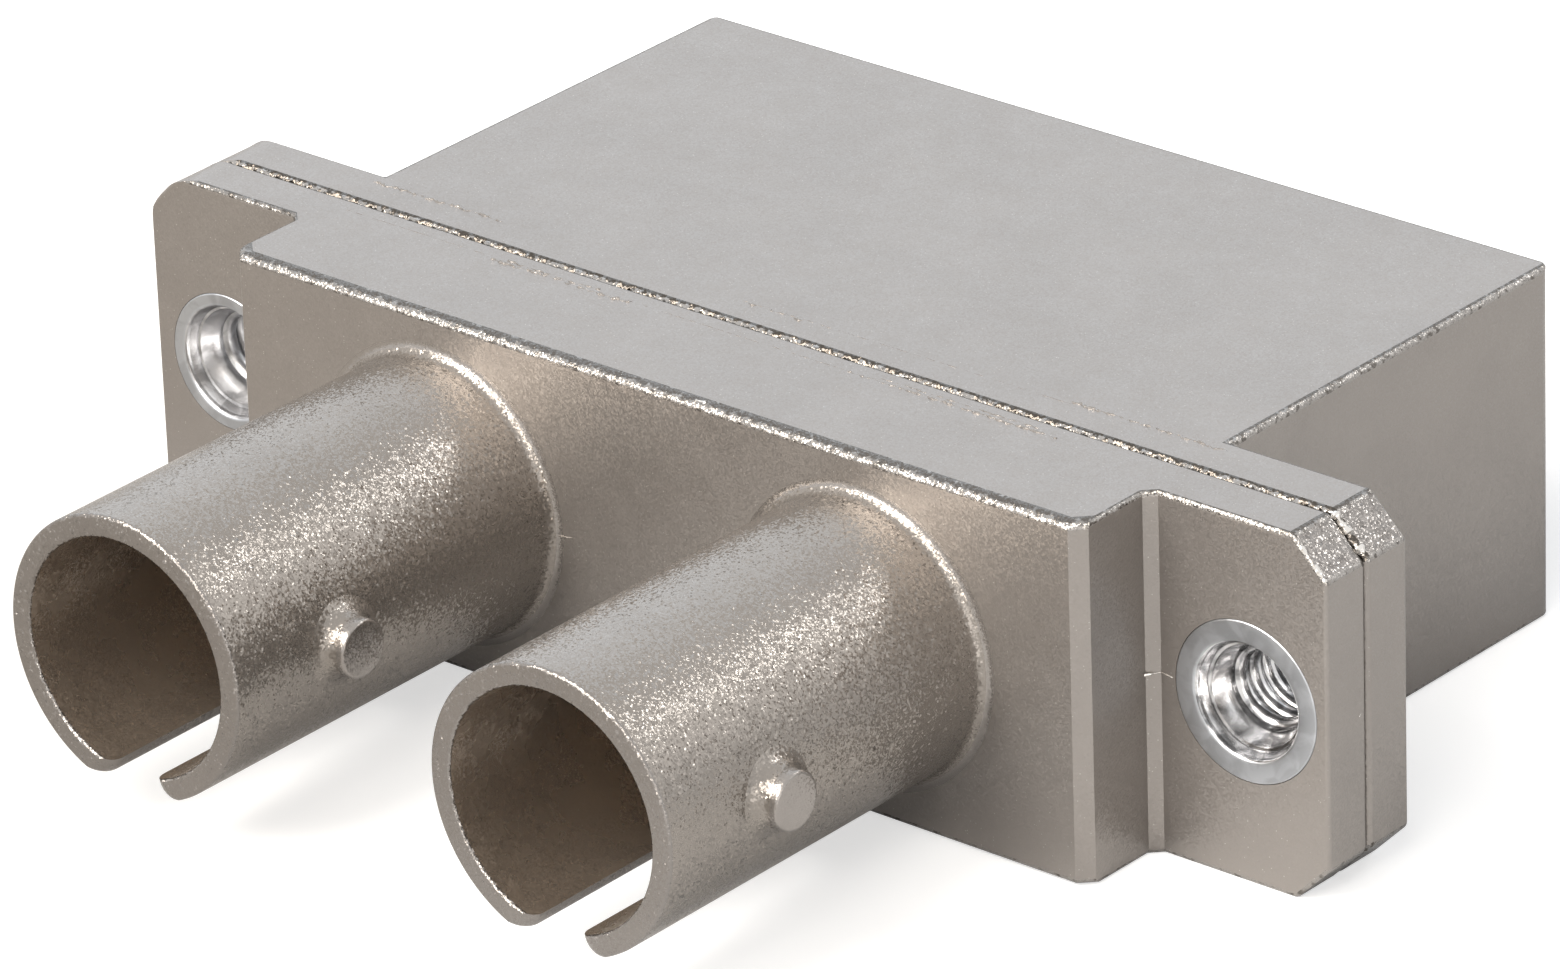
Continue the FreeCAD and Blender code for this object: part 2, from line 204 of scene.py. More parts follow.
class Finish:
    """A material whose patterns lie in the piece's own space. Scales are per metre."""

    def __init__(self, name, metallic=0.0):
        self.material = bpy.data.materials.new(name)
        self.material.use_nodes = True
        self.nodes = self.material.node_tree.nodes
        self.links = self.material.node_tree.links
        self.shader = self.nodes["Principled BSDF"]
        self.shader.inputs["Metallic"].default_value = metallic
        self.place = self.nodes.new("ShaderNodeTexCoord")

    def into(self, label, value):
        """Links a value to one of the shader's sockets."""
        self.links.new(value, self.shader.inputs[label])

    def texture(self, kind, scale, detail=None):
        node = self.nodes.new("ShaderNodeTex" + kind)
        node.inputs["Scale"].default_value = scale
        if detail is not None:
            node.inputs["Detail"].default_value = detail
        self.links.new(self.place.outputs["Object"], node.inputs["Vector"])
        return node

    def number(self, operation, first, second):
        node = self.nodes.new("ShaderNodeMath")
        node.operation = operation
        self.links.new(first, node.inputs[0])
        self.links.new(second, node.inputs[1])
        return node.outputs[0]

    def vector(self, operation, first, second):
        node = self.nodes.new("ShaderNodeVectorMath")
        node.operation = operation
        self.links.new(first, node.inputs[0])
        if isinstance(second, tuple):
            node.inputs[1].default_value = second
        else:
            self.links.new(second, node.inputs[1])
        return node.outputs[0]

    def spread(self, value, low, high, out_low, out_high):
        node = self.nodes.new("ShaderNodeMapRange")
        node.inputs["From Min"].default_value = low
        node.inputs["From Max"].default_value = high
        node.inputs["To Min"].default_value = out_low
        node.inputs["To Max"].default_value = out_high
        self.links.new(value, node.inputs["Value"])
        return node.outputs[0]

    def blend(self, factor, first, second):
        node = self.nodes.new("ShaderNodeMix")
        node.data_type = "RGBA"
        self.links.new(factor, node.inputs["Factor"])
        for label, value in (("A", first), ("B", second)):
            if isinstance(value, tuple):
                node.inputs[label].default_value = (*value, 1)
            else:
                self.links.new(value, node.inputs[label])
        return node.outputs["Result"]

    def bump(self, height, strength, distance):
        node = self.nodes.new("ShaderNodeBump")
        node.inputs["Strength"].default_value = strength
        node.inputs["Distance"].default_value = distance
        self.links.new(height, node.inputs["Height"])
        return node.outputs["Normal"]


def plated(name, colour, metallic, roughness, grain, fold, painted_glint_share, wear_and_shade=None, glitter=None):
    """Satin plate. grain and fold are (size, lean) of its crystals and of its broader dents.

    Each crystal is a facet that leans its own way. specks is the share of single crystals
    painted light as glints, wear is (how dark, from where) for dark patches that are partly plate
    rubbed thin and partly painted shade, and glitter is (size, lean) of a few crystals that lean
    far. Sizes are millimetres.
    """
    finish = Finish(name, metallic)

    def lean_of(kind, size):
        """Leans from -0.5 to 0.5 along each axis."""
        return finish.vector("SUBTRACT", finish.texture(kind, 1000 / size).outputs["Color"],
                             (0.5, 0.5, 0.5))

    def leant(normal, tilt, lean):
        return finish.vector("ADD", normal, finish.vector("MULTIPLY", tilt, (lean, lean, lean)))

    normal = finish.nodes.new("ShaderNodeNewGeometry").outputs["Normal"]
    normal = leant(normal, lean_of("Voronoi", grain[0]), grain[1])
    normal = leant(normal, lean_of("Noise", fold[0]), fold[1])
    if glitter:
        # cubed, so that most crystals hardly lean and a few lean far
        tilt = lean_of("Voronoi", glitter[0])
        cubed = finish.vector("MULTIPLY", tilt, finish.vector("MULTIPLY", tilt, tilt))
        normal = leant(normal, cubed, glitter[1])
    finish.into("Normal", finish.vector("NORMALIZE", normal, (0, 0, 0)))

    patches = finish.texture("Noise", 1000 / 2.6, 4).outputs["Fac"]
    colour_now = finish.blend(finish.spread(patches, 0.35, 0.65, 0, 1),
                              tuple(c * 0.975 for c in colour), tuple(c * 1.025 for c in colour))
    if wear_and_shade:
        # dark patches, partly plate rubbed thin and partly painted shade: dark where a fine noise
        # is high, and painted darker still where the edge already turns to the top
        darkest, start = wear_and_shade
        facing = finish.nodes.new("ShaderNodeSeparateXYZ")
        finish.links.new(finish.place.outputs["Normal"], facing.inputs["Vector"])
        painted_shade_top = finish.spread(facing.outputs["Z"], 0.86, 0.95, 0, 0.22)
        thin = finish.texture("Noise", 1000 / 0.16, 3).outputs["Fac"]
        worn_and_shaded = finish.spread(finish.number("ADD", thin, painted_shade_top), start, start + 0.12, 0, darkest)
        colour_now = finish.blend(worn_and_shaded, colour_now, (0.06, 0.05, 0.04))
    # painted glints: a share of single crystals painted a light colour, standing in for
    # highlights
    single = finish.texture("Voronoi", 1000 / 0.05)
    pick = finish.nodes.new("ShaderNodeSeparateColor")
    finish.links.new(single.outputs["Color"], pick.inputs["Color"])
    chosen = finish.spread(pick.outputs["Red"], 1 - painted_glint_share, 1.01 - painted_glint_share, 0, 1)
    inside = finish.spread(single.outputs["Distance"], 0.30, 0.22, 0, 1)
    painted_glint = finish.number("MULTIPLY", chosen, inside)
    finish.into("Base Color", finish.blend(painted_glint, colour_now, (0.52, 0.50, 0.475)))

    smears = finish.texture("Noise", 1000 / 0.9, 3).outputs["Fac"]
    finish.into("Roughness",
                finish.spread(smears, 0.3, 0.7, roughness - 0.04, roughness + 0.04))
    return finish.material


cast_face = plated("cast_face", (0.300, 0.279, 0.263), 0.72, 0.33,
                   grain=(0.04, 0.22), fold=(0.5, 0.03), painted_glint_share=0.04)
cast_edge = plated("cast_edge", (0.335, 0.318, 0.302), 0.92, 0.25,
                   grain=(0.03, 0.4), fold=(0.08, 0.9), painted_glint_share=0.03, wear_and_shade=(0.7, 0.52))
cast_glint = plated("cast_glint", (0.295, 0.277, 0.263), 0.85, 0.22,
                    grain=(0.04, 0.5), fold=(0.14, 0.7), painted_glint_share=0.05, wear_and_shade=(0.3, 0.5))
# seam edges: a lighter copy of the plate as painted highlight for its bright beads, with strong
# painted shade in dark patches along the groove
cast_seam = plated("cast_seam", (0.44, 0.42, 0.40), 0.95, 0.20,
                   grain=(0.04, 0.3), fold=(0.16, 1.7), painted_glint_share=0.02, wear_and_shade=(0.9, 0.42))
cast_root = plated("cast_root", (0.325, 0.304, 0.287), 0.8, 0.23,
                   grain=(0.035, 0.2), fold=(0.2, 0.12), painted_glint_share=0.02)
cast_barrel = plated("cast_barrel", (0.287, 0.263, 0.240), 0.72, 0.21,
                     grain=(0.035, 0.19), fold=(0.08, 0.07), painted_glint_share=0.01, glitter=(0.05, 2.1))
# mouth ends and keyway walls: a darker copy of the plate, painted shade that dims the pale floor
# they mirror
cast_rim = plated("cast_rim", (0.258, 0.241, 0.228), 0.78, 0.26,
                  grain=(0.035, 0.3), fold=(0.14, 0.4), painted_glint_share=0.03, glitter=(0.05, 2.5))
cast_bore = plated("cast_bore", (0.40, 0.335, 0.275), 0.80, 0.27,
                   grain=(0.04, 0.2), fold=(0.5, 0.16), painted_glint_share=0.02, glitter=(0.05, 1.2))
# near-white plate for burrs, nicks and strips along edges: a painted highlight
painted_highlight_bead = plated("painted_highlight_bead", (0.80, 0.775, 0.74), 0.95, 0.2,
                   grain=(0.04, 0.2), fold=(0.12, 0.3), painted_glint_share=0.02)


def new_object(name, mesh):
    made = bpy.data.objects.new(name, mesh)
    bpy.context.scene.collection.objects.link(made)
    return made


def bake(shape):
    """The shape's mesh with its modifiers worked in, and no modifier left."""
    graph = bpy.context.evaluated_depsgraph_get()
    mesh = bpy.data.meshes.new_from_object(shape.evaluated_get(graph))
    shape.modifiers.clear()
    shape.data = mesh
    return mesh


def casting_body(name, seam_y, ear_y, root, corner, block_y, rounding):
    """Ears and block of one half as a closed mesh. rounding gives each edge its radius.

    root and corner are the widths of the flats in the block's upright corners.
    """
    out = math.copysign(1, block_y)
    half = [(ear_top_end, seam_y), (ear_top_end, ear_y), (block_side + root, ear_y),
            (block_side, ear_y + out * root), (block_side, block_y - out * corner),
            (block_side - corner, block_y)]
    verts = {}
    shape = bmesh.new()

    def at(x, y, z):
        key = (round(x, 3), round(y, 3), round(z, 3))
        if key not in verts:
            verts[key] = shape.verts.new(key)
        return verts[key]

    def face(points):
        made = []
        for point in points:
            vert = at(*point)
            if vert not in made:
                made.append(vert)
        if len(made) > 2:
            shape.faces.new(made)

    for z in (-body_top, body_top):
        face([(x, y, z) for x, y in half] + [(-x, y, z) for x, y in reversed(half)])
    for level, last in ((seam_y, -ear_top_end), (ear_y, block_side + root)):
        for s in ((1,) if level == seam_y else (-1, 1)):
            ring = [(s * last, level, body_top), (s * ear_top_end, level, body_top),
                    (s * ear_end, level, ear_end_top), (s * ear_end, level, -ear_end_top),
                    (s * ear_top_end, level, -body_top), (s * last, level, -body_top)]
            if level == seam_y:
                ring += [(-ear_end, level, -ear_end_top), (-ear_end, level, ear_end_top)]
            face(ring)
    for s in (-1, 1):
        for (x, y), (x2, y2) in zip(half[2:], half[3:]):
            face([(s * x, y, body_top), (s * x2, y2, body_top),
                  (s * x2, y2, -body_top), (s * x, y, -body_top)])
        face([(s * ear_end, seam_y, ear_end_top), (s * ear_end, ear_y, ear_end_top),
              (s * ear_end, ear_y, -ear_end_top), (s * ear_end, seam_y, -ear_end_top)])
        for z in (-1, 1):
            face([(s * ear_top_end, seam_y, z * body_top), (s * ear_top_end, ear_y, z * body_top),
                  (s * ear_end, ear_y, z * ear_end_top), (s * ear_end, seam_y, z * ear_end_top)])
    x, y = half[-1]
    face([(-x, y, -body_top), (x, y, -body_top), (x, y, body_top), (-x, y, body_top)])
    bmesh.ops.recalc_face_normals(shape, faces=shape.faces)
    weight = shape.edges.layers.float.new("bevel_weight_edge")
    for edge in shape.edges:
        edge[weight] = rounding(*[v.co for v in edge.verts])
    mesh = bpy.data.meshes.new(name)
    shape.to_mesh(mesh)
    # slots: 0 faces, 1 rounded edges, 2 slopes of the ears, 3 edges of the seam
    for material in (cast_face, cast_edge, cast_glint, cast_seam):
        mesh.materials.append(material)
    body = new_object(name, mesh)
    bevel = body.modifiers.new("rounding", "BEVEL")
    bevel.limit_method = "WEIGHT"
    bevel.width = 1
    bevel.segments = 5
    bevel.material = 1
    bake(body)
    # rough edges lie only along the top and the bottom, and the left ear's end came out smooth
    for polygon in body.data.polygons:
        middle = polygon.center
        smooth_end = middle.x < -ear_top_end + 0.65
        upright = abs(middle.z) < body_top - 1.3 or abs(polygon.normal.z) < 0.12
        ear_slope = abs(middle.x) > ear_top_end and polygon.area > 0.5
        if smooth_end or upright:
            polygon.material_index = 0
        elif ear_slope:
            polygon.material_index = 2
        elif polygon.material_index == 1 and abs(middle.y) < 0.2:
            polygon.material_index = 3
    return body


def cutter(name, points, faces, material=cast_face):
    """A closed tool for cut_away. The faces that it leaves have its material."""
    mesh = bpy.data.meshes.new(name)
    mesh.from_pydata(points, [], faces)
    mesh.materials.append(material)
    shape = bmesh.new()
    shape.from_mesh(mesh)
    bmesh.ops.recalc_face_normals(shape, faces=shape.faces)
    shape.to_mesh(mesh)
    return new_object(name, mesh)


def loft(name, sections, axis, material=cast_face):
    """Sections, (level, 2-D points), set along one axis and joined.

    The points lie along the other two axes, in X, Y, Z order.
    """
    count = len(sections[0][1])
    points = []
    for level, section in sections:
        for p in section:
            point = list(p)
            point.insert(axis, level)
            points.append(point)
    faces = [tuple(range(count)), tuple(range(len(points) - count, len(points)))]
    for start in range(0, len(points) - count, count):
        for i in range(count):
            k = (i + 1) % count
            faces.append((start + i, start + k, start + count + k, start + count + i))
    return cutter(name, points, faces, material)


def prism(name, section, low, high, axis, material=cast_face):
    return loft(name, [(low, section), (high, section)], axis, material)


def circle(centre, radius, steps=96):
    turn = 2 * math.pi / steps
    return [(centre[0] + radius * math.cos(i * turn), centre[1] + radius * math.sin(i * turn))
            for i in range(steps)]


def cut_away(shape, tools):
    """Cuts each tool from the shape and throws the tool away."""
    for tool in tools:
        step = shape.modifiers.new("cut", "BOOLEAN")
        step.operation = "DIFFERENCE"
        step.solver = "EXACT"
        step.object = tool
    bake(shape)
    for tool in tools:
        bpy.data.objects.remove(tool)


def front_rounding(a, b):
    """Radius of the rounding on the edge from a to b."""
    if a.x == b.x and a.y == b.y and abs(a.x) < 13.5:
        return 0  # upright edges of the block, which has flats there
    if a.y > -0.1 and b.y > -0.1:
        return 0.11  # round the seam
    if abs(a.z) == abs(b.z) == body_top and (a.y + b.y) / 2 < -3.7:
        return 0.32  # long edges of the block
    if a.x == b.x < -ear_top_end + 0.01 and a.z == b.z:
        return 0.6  # end of the left ear
    return 0.1


front = casting_body("front_body", -seam_half_gap, ear_front, 0.25, 0.33, block_front,
                     front_rounding)
holes = [prism("hole", circle((x, 0), 3.15), -6, 1, 1) for x in channels]
holes += [prism("hole", circle((x, 0), radius), -6, 1, 1)
          for x, radius in zip(screws, (1.755, 1.978))]
cut_away(front, holes)


def arc(centre_r, centre_y, radius, start, end, steps):
    """Points (r, y) along an arc, angles in degrees from +r towards +y."""
    points = []
    for i in range(steps + 1):
        angle = math.radians(start + (end - start) * i / steps)
        points.append((centre_r + radius * math.cos(angle), centre_y + radius * math.sin(angle)))
    return points


def profile_curve(name, points):
    """Closed outline of a turned piece, (radius, y) points, for the turning node group.

    The group sweeps it along a circle of radius 1, which is why 1 comes off each radius.
    """
    data = bpy.data.curves.new(name, "CURVE")
    data.dimensions = "3D"
    spline = data.splines.new("POLY")
    spline.points.add(len(points) - 1)
    for point, (r, y) in zip(spline.points, points):
        point.co = (r - 1, y, 0, 1)
    spline.use_cyclic_u = True
    return new_object(name, data)


def node_group(name, inputs):
    """A Geometry Nodes group with named inputs, and the node that gives their values."""
    group = bpy.data.node_groups.new(name, "GeometryNodeTree")
    group.interface.new_socket("Geometry", in_out="OUTPUT", socket_type="NodeSocketGeometry")
    for label, kind in {**inputs, "Finish": "Material"}.items():
        group.interface.new_socket(label, in_out="INPUT", socket_type="NodeSocket" + kind)
    return group, group.nodes.new("NodeGroupInput")


def end_group(group, given, geometry):
    """Makes any instances real, sets the finish and gives the result out."""
    real = group.nodes.new("GeometryNodeRealizeInstances")
    group.links.new(geometry, real.inputs["Geometry"])
    finish = group.nodes.new("GeometryNodeSetMaterial")
    group.links.new(real.outputs["Geometry"], finish.inputs["Geometry"])
    group.links.new(given.outputs["Finish"], finish.inputs["Material"])
    result = group.nodes.new("NodeGroupOutput")
    group.links.new(finish.outputs["Geometry"], result.inputs["Geometry"])
    return group


def turning_nodes():
    """Node group: turns a closed outline about Y and repeats it along X."""
    group, given = node_group("turned_row", {"Outline": "Object", "Steps": "Int", "Count": "Int",
                                             "First": "Vector", "Step": "Vector"})
    nodes = group.nodes
    links = group.links
    outline = nodes.new("GeometryNodeObjectInfo")
    links.new(given.outputs["Outline"], outline.inputs["Object"])
    path = nodes.new("GeometryNodeCurvePrimitiveCircle")
    path.inputs["Radius"].default_value = 1
    links.new(given.outputs["Steps"], path.inputs["Resolution"])
    turned = nodes.new("GeometryNodeCurveToMesh")
    links.new(path.outputs["Curve"], turned.inputs["Curve"])
    links.new(outline.outputs["Geometry"], turned.inputs["Profile Curve"])
    upright = nodes.new("GeometryNodeTransform")
    upright.inputs["Rotation"].default_value = (math.radians(90), 0, 0)
    links.new(turned.outputs["Mesh"], upright.inputs["Geometry"])
    line = nodes.new("GeometryNodeMeshLine")
    links.new(given.outputs["Count"], line.inputs["Count"])
    links.new(given.outputs["First"], line.inputs["Start Location"])
    links.new(given.outputs["Step"], line.inputs["Offset"])
    row = nodes.new("GeometryNodeInstanceOnPoints")
    links.new(line.outputs["Mesh"], row.inputs["Points"])
    links.new(upright.outputs["Geometry"], row.inputs["Instance"])
    return end_group(group, given, row.outputs["Instances"])


def run_group(name, group, values):
    """A plain mesh object made by a node group from named values."""
    made = new_object(name, bpy.data.meshes.new(name))
    step = made.modifiers.new(name, "NODES")
    step.node_group = group
    for item in group.interface.items_tree:
        if item.in_out == "INPUT" and item.name in values:
            step[item.identifier] = values[item.name]
    bake(made)
    made.data.materials.clear()
    made.data.materials.append(values["Finish"])
    for polygon in made.data.polygons:
        polygon.material_index = 0
    return made


barrel_radius = 3.47
bore_radius = 2.92
mouth = -14.63
barrel_outline = arc(bore_radius + 0.08, mouth + 0.08, 0.08, 180, 270, 4)
barrel_outline += arc(barrel_radius - 0.09, mouth + 0.09, 0.09, -90, 0, 5)
barrel_outline += [(barrel_radius, y) for y in (-14.2, -13.4, -12.6, -11.8, -11.0, -10.2, -9.4,
                                                -8.6, -7.8, -7.0, -6.2, -5.4, -4.7)]
barrel_outline += arc(barrel_radius + 0.31, block_front - 0.31, 0.31, 180, 90, 8)
# back inside the block, the tube round the sleeve, and the floor of the bore
barrel_outline += [(3.80, -3.86), (3.3, -3.6), (3.3, -0.03), (1.65, -0.03), (1.65, -5.8),
                   (1.45, -5.8), (1.45, -6.15), (1.75, -6.45)]
barrel_outline += arc(2.05, -6.4, 0.1, -90, 0, 3)
barrel_outline += arc(2.35, -2.5, 0.2, 180, 90, 3)
barrel_outline += arc(2.72, -2.5, 0.2, 90, 0, 3)
barrel_outline += [(bore_radius, y) for y in (-4, -5.5, -7, -8.5, -10, -11.5, -13, -14)]
outline = profile_curve("barrel_outline", barrel_outline)
turned_row = turning_nodes()
barrels = run_group("barrels", turned_row, {"Outline": outline, "Steps": 192, "Count": 2,
                                            "First": (channels[0], 0, 0),
                                            "Step": (channels[1] - channels[0], 0, 0),
                                            "Finish": cast_barrel})
bpy.data.objects.remove(outline)
barrels.data.materials.clear()
# slots: 0 outside, 1 bore and the tube in it, 2 flare at the root, 3 inner lip, 4 mouth's end
for material in (cast_barrel, cast_bore, cast_root, cast_glint, cast_rim):
    barrels.data.materials.append(material)
for polygon in barrels.data.polygons:
    x, y, z = polygon.center
    r = math.hypot(abs(x) - channels[1], z)
    polygon.material_index = 0
    if y < mouth + 0.13:
        inner_lip = r < 3.0 and y > mouth + 0.01
        polygon.material_index = 3 if inner_lip else 4
    elif r < bore_radius + 0.01 and y < -2.2:
        polygon.material_index = 1
    elif r > barrel_radius + 0.13:
        polygon.material_index = 2

# each keyway: a slot with rounded lips that opens out at the mouth, and a round end
nose = 0.45
slot_half = 0.65
slot_end = -8.28
slot_low = -4.6
slot_high = -1.5
mouth_round = 0.4


def keyway_section(x, half_width):
    nose_x = half_width + nose
    nose_z = -math.sqrt((barrel_radius - nose) ** 2 - nose_x ** 2)
    end = 360 + math.degrees(math.atan2(nose_z, nose_x))
    side = [(half_width, slot_high)] + arc(nose_x, nose_z, nose, 180, end, 8)
    side += [(side[-1][0], slot_low)]
    return [(x + px, pz) for px, pz in side] + [(x - px, pz) for px, pz in reversed(side)]


keyway_tools = []
for x in channels:
    levels = [(slot_end, slot_half)]
    for i in range(8):
        angle = math.radians(90 * i / 7)
        levels.append((mouth + mouth_round - mouth_round * math.sin(angle),
                       slot_half + mouth_round * (1 - math.cos(angle))))
    levels.append((-15.6, slot_half + mouth_round))
    sections = [(y, keyway_section(x, half_width)) for y, half_width in levels]
    keyway_tools.append(loft("slot", sections, 1, cast_rim))
    round_end = circle((x, slot_end), slot_half, 48)
    keyway_tools.append(prism("slot", round_end, slot_low, slot_high, 2, cast_rim))
cut_away(barrels, keyway_tools)


lug_y = -11.05
lug_seat = 3.468  # a hair inside the barrel's skin
lug_radius = 0.71
lug_fillet = 0.38
lug_bevel = 0.09
lug_side_end = 3.97
lug_tip = 4.065


def lug(x, side):
    """Bayonet lug on a barrel's side, with a fillet that follows the barrel round its root."""
    steps = 48
    # rings from the root to the tip: radius, and height over the barrel or reach from its axis
    rings = [(lug_radius + lug_fillet + 0.05, -0.03, None)]
    for i in range(7):
        angle = math.radians(90 * i / 6)
        rings.append((lug_radius + lug_fillet * (1 - math.sin(angle)),
                      lug_fillet * (1 - math.cos(angle)), None))
    for i in range(5):
        angle = math.radians(90 * i / 4)
        rings.append((lug_radius - lug_bevel * (1 - math.cos(angle)), None,
                      lug_side_end + lug_bevel * math.sin(angle)))
    rings.append((0.3, None, lug_tip))
    shape = bmesh.new()
    loops = []
    for rho, height, reach_x in rings:
        loop = []
        for j in range(steps):
            turn = 2 * math.pi * j / steps
            z = rho * math.sin(turn)
            out = reach_x
            if height is not None:
                out = math.sqrt(lug_seat ** 2 - z * z) + height
            loop.append(shape.verts.new((x + side * out, lug_y + rho * math.cos(turn), z)))
        loops.append(loop)
    for first, second in zip(loops, loops[1:]):
        for j in range(steps):
            k = (j + 1) % steps
            shape.faces.new((first[j], first[k], second[k], second[j]))
    shape.faces.new(loops[-1])
    shape.faces.new(loops[0])
    bmesh.ops.recalc_face_normals(shape, faces=shape.faces)
    mesh = bpy.data.meshes.new("lug")
    shape.to_mesh(mesh)
    mesh.materials.append(cast_root)
    mesh.materials.append(cast_barrel)
    for polygon in mesh.polygons:
        if math.hypot(polygon.center.y - lug_y, polygon.center.z) > lug_radius:
            polygon.material_index = 1
    return new_object("lug", mesh)


def joined(name, parts):
    """One mesh object from several, in metres, with crisp edges and even shading."""
    whole = bmesh.new()
    materials = []
    for part in parts:
        before = len(whole.faces)
        whole.from_mesh(part.data)
        whole.faces.ensure_lookup_table()
        slots = []
        for material in part.data.materials:
            if material not in materials:
                materials.append(material)
            slots.append(materials.index(material))
        for face in whole.faces[before:]:
            face.material_index = slots[min(face.material_index, len(slots) - 1)]
    bmesh.ops.scale(whole, vec=(0.001,) * 3, verts=whole.verts)
    mesh = bpy.data.meshes.new(name)
    whole.to_mesh(mesh)
    for material in materials:
        mesh.materials.append(material)
    for part in parts:
        bpy.data.objects.remove(part)
    piece = new_object(name, mesh)
    mesh.shade_smooth()
    mesh.set_sharp_from_angle(angle=math.radians(32))
    even = piece.modifiers.new("even", "WEIGHTED_NORMAL")
    even.keep_sharp = True
    even.weight = 100
    bake(piece)
    return piece


def flash_nodes():
    """Node group: a thin broken line of flash that wanders in Y along a straight path."""
    group, given = node_group("flash", {"Start": "Vector", "End": "Vector", "Thickness": "Float",
                                        "Wander": "Float"})
    nodes = group.nodes
    links = group.links
    line = nodes.new("GeometryNodeCurvePrimitiveLine")
    links.new(given.outputs["Start"], line.inputs["Start"])
    links.new(given.outputs["End"], line.inputs["End"])
    fine = nodes.new("GeometryNodeResampleCurve")
    fine.mode = "LENGTH"
    fine.inputs["Length"].default_value = 0.04
    links.new(line.outputs["Curve"], fine.inputs["Curve"])
    broken = nodes.new("ShaderNodeTexNoise")
    broken.inputs["Scale"].default_value = 5
    broken.inputs["Detail"].default_value = 4
    tilt = nodes.new("ShaderNodeVectorMath")
    tilt.operation = "SUBTRACT"
    links.new(broken.outputs["Color"], tilt.inputs[0])
    tilt.inputs[1].default_value = (0.5, 0.5, 0.5)
    across = nodes.new("ShaderNodeVectorMath")
    across.operation = "MULTIPLY"
    links.new(tilt.outputs[0], across.inputs[0])
    across.inputs[1].default_value = (0, 1, 0)
    wander = nodes.new("ShaderNodeVectorMath")
    wander.operation = "SCALE"
    links.new(across.outputs[0], wander.inputs[0])
    links.new(given.outputs["Wander"], wander.inputs["Scale"])
    moved = nodes.new("GeometryNodeSetPosition")
    links.new(fine.outputs["Curve"], moved.inputs["Geometry"])
    links.new(wander.outputs[0], moved.inputs["Offset"])
    height = nodes.new("ShaderNodeMapRange")
    height.inputs["From Min"].default_value = 0.42
    height.inputs["From Max"].default_value = 0.60
    height.inputs["To Min"].default_value = 0.15
    links.new(broken.outputs["Fac"], height.inputs["Value"])
    section = nodes.new("GeometryNodeCurvePrimitiveCircle")
    section.inputs["Resolution"].default_value = 8
    links.new(given.outputs["Thickness"], section.inputs["Radius"])
    drawn = nodes.new("GeometryNodeCurveToMesh")
    drawn.inputs["Fill Caps"].default_value = True
    links.new(moved.outputs["Geometry"], drawn.inputs["Curve"])
    links.new(section.outputs["Curve"], drawn.inputs["Profile Curve"])
    links.new(height.outputs[0], drawn.inputs["Scale"])
    return end_group(group, given, drawn.outputs["Mesh"])


flash = flash_nodes()


def flash_line(start, end, thickness, wander, finish=cast_root):
    return run_group("flash", flash, {"Start": start, "End": end, "Thickness": thickness,
                                      "Wander": wander, "Finish": finish})


def flash_lines(lines):
    """Lines of flash on the top, given as (x start, x end, y, thickness, wander)."""
    return [flash_line((x, y, body_top - 0.004), (x2, y, body_top - 0.004), thickness, wander)
            for x, x2, y, thickness, wander in lines]


front_flash = flash_lines([(-7.4, -3.2, -0.62, 0.048, 0.35), (-7.0, -4.2, -0.50, 0.036, 0.3),
                           (-12.0, -7.4, -0.52, 0.012, 0.05), (-3.2, 3.3, -0.56, 0.013, 0.06),
                           (3.3, 9.4, -0.58, 0.045, 0.22), (4.2, 8.8, -0.42, 0.026, 0.15)])
# burrs and nicks that caught the plate, and strips and beads along the seam, the ear's slope and
# the block's edges, all in a near-white finish that paints their highlight: start, end and
# thickness
burrs = [
    ((12.68, -1.74, 0.02), (12.92, -1.43, 0.04), 0.035),  # root of the right ear
    ((12.91, -1.43, 0.04), (13.25, -1.43, 0.0), 0.028),
    ((-2.89, -3.91, -0.08), (-2.22, -3.91, 0.01), 0.022),  # root of the left barrel
    ((16.22, -1.42, 1.43), (16.34, -1.42, 1.40), 0.030),  # right ear
    ((17.58, -0.30, -0.15), (17.58, -0.22, -0.10), 0.035),
    ((4.25, -0.06, 4.46), (4.60, 0.02, 4.47), 0.075),  # seam
    ((10.86, -0.05, 4.46), (10.97, 0.0, 4.46), 0.060),
    ((16.60, 0.12, 4.42), (17.52, 0.12, 3.50), 0.150),  # slope of the right ear
    ((16.63, -1.36, 4.43), (17.52, -1.36, 3.54), 0.085),
    ((12.28, -3.82, 4.33), (12.40, -3.76, 4.33), 0.100),  # right corner of the block
    ((12.60, -3.60, 4.36), (12.63, -3.50, 4.36), 0.080),
    ((1.50, -3.74, 4.46), (1.78, -3.72, 4.46), 0.065),  # long edge of the block
    ((-0.95, -3.84, 4.33), (-0.60, -3.84, 4.33), 0.050)]
front_flash += [flash_line(start, end, thickness, 0.02, painted_highlight_bead)
                for start, end, thickness in burrs]
lugs = [lug(x, side) for x in channels for side in (-1, 1)]
front_casting = joined("front_casting", [front, barrels] + lugs + front_flash)
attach(front_casting, "root")
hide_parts("front_housing")

# Rear casting
# Zinc die casting with the same plate: the rear half of the screw ears and the long shell with
# two square ports. It is held to the front casting by the two clinched bushes.
def rear_rounding(a, b):
    """Radius of the rounding on the edge from a to b."""
    if a.x == b.x and a.y == b.y and abs(a.x) < 13.5:
        return 0.4 if a.y > 12 else 0.25  # upright edges of the shell, at its end or its root
    if a.y < 0.1 and b.y < 0.1:
        return 0.17  # round the seam
    if abs(a.z) == abs(b.z) == body_top and (a.y + b.y) / 2 > 1.6:
        return 0.16  # long edges of the shell
    if a.x == b.x < -ear_top_end + 0.01 and a.z == b.z:
        return 0.6  # end of the left ear
    return 0.1


